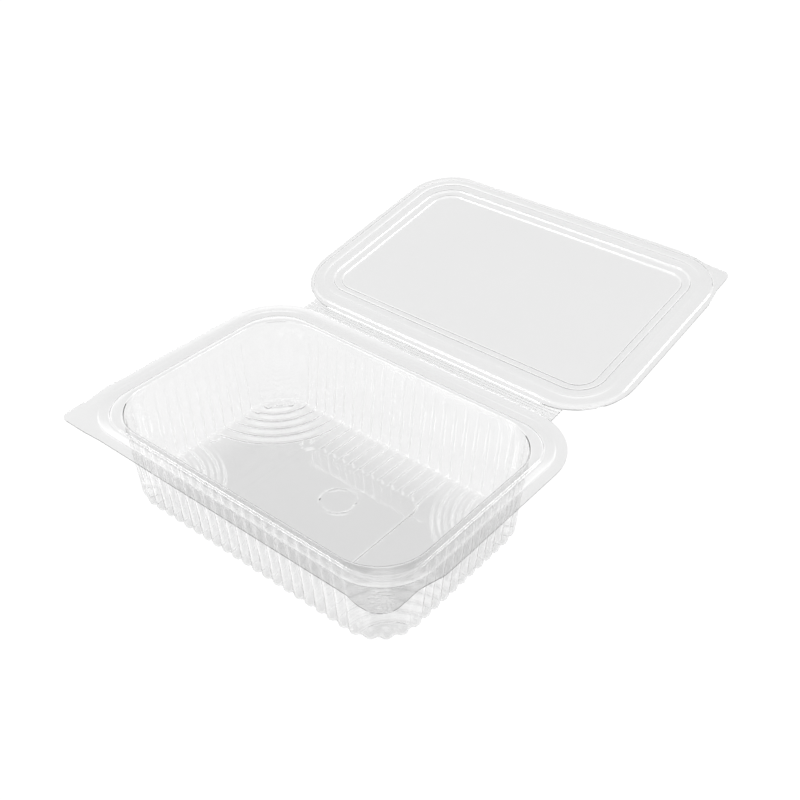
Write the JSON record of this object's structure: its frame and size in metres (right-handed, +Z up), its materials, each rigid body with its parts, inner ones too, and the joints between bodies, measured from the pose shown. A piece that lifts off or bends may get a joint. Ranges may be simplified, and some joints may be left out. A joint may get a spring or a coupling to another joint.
{
  "type": "hinged takeaway container",
  "caption": "Clear plastic takeaway meal container, empty, with a fluted tray, a tabbed rim and a shallow lid hinged along one long side, shown open",
  "frame": {"origin": "middle of the tray's floor panel, on the surface that it rests on", "axes": "+Z up, X along the hinge, +Y from the tray towards the open lid"},
  "size_m": [0.1906, 0.2726, 0.0692],
  "materials": {
    "clear_tray": "clear thermoformed plastic sheet, glossy",
    "clear_lid": "clear thermoformed plastic sheet, glossy"
  },
  "bodies": {
    "tray": {"tray": "clear_tray"},
    "lid": {"lid": "clear_lid"}
  },
  "joints": [
    {"name": "lid_hinge", "type": "hinge", "parent": "tray", "child": "lid", "pos_m": [0, 0.0705, 0.0463], "axis": [1, 0, 0], "range_deg": [-25, 170]}
  ]
}
